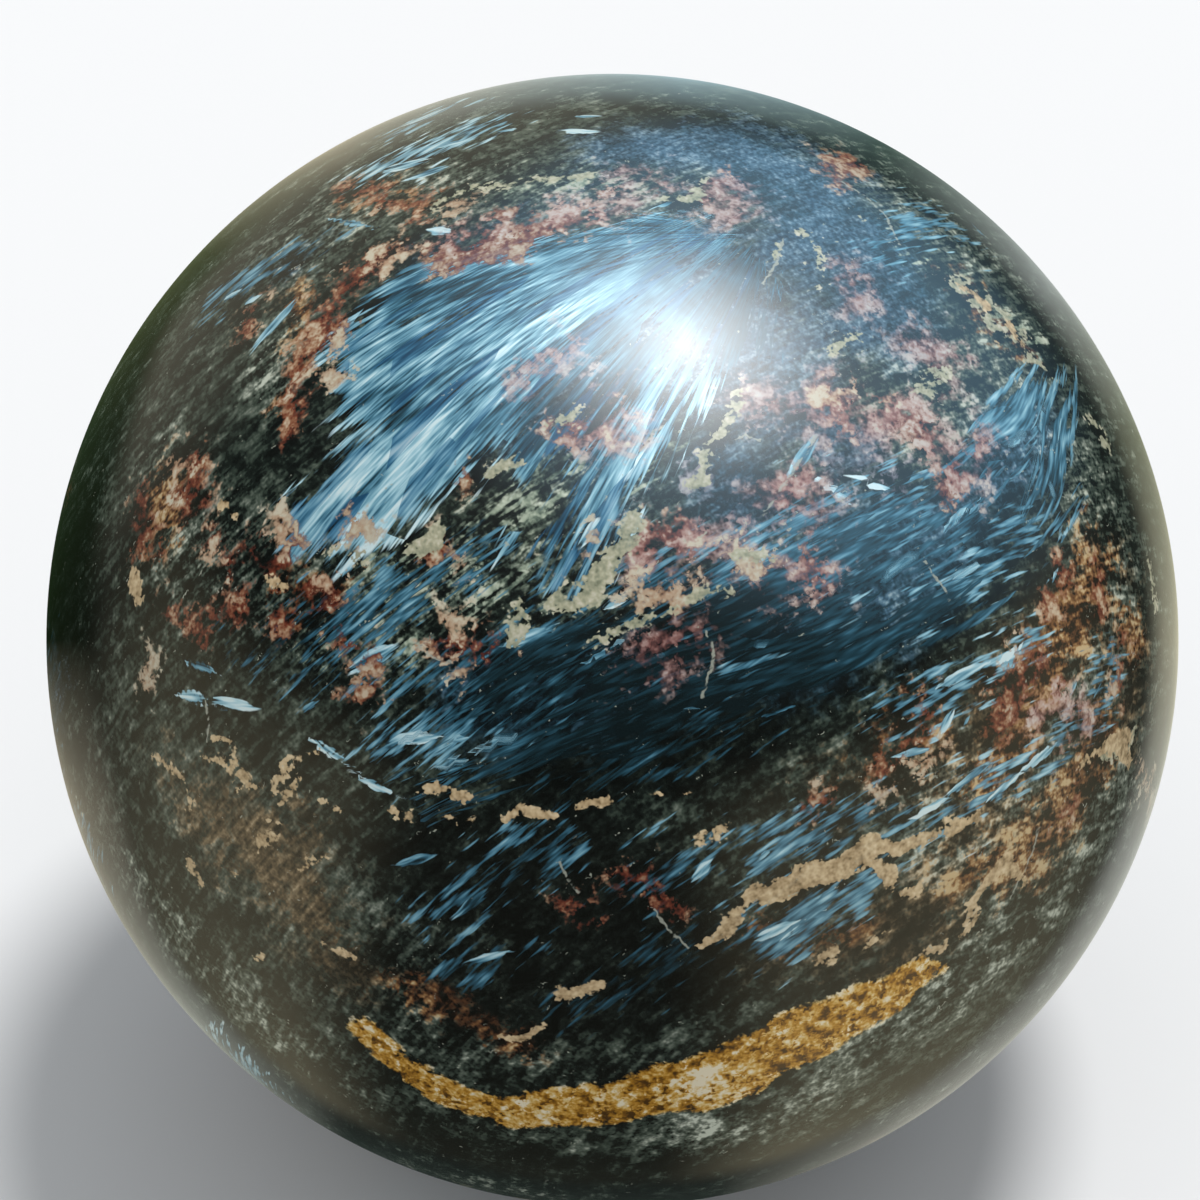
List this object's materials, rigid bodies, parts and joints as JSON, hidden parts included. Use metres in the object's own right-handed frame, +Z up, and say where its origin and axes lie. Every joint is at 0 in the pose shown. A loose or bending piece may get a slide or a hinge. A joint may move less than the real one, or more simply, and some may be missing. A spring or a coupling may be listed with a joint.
{
  "type": "polished astrophyllite ball",
  "caption": "Polished display ball of dark astrophyllite rock with blue fibre sprays, red and cream grains, on a small ground flat.",
  "frame": {"origin": "the middle of the small flat that the ball rests on", "axes": "+Z up through the ball's middle, square to the flat; the side that the picture shows faces -Y, tilted up"},
  "size_m": [0.1, 0.1, 0.099],
  "materials": {
    "polished_rock": "mirror-polished dark rock: near-black ground, steel-blue silky fibre sprays, brown-red and cream mineral grains"
  },
  "bodies": {
    "root": {"stone_ball": "polished_rock"}
  },
  "joints": []
}
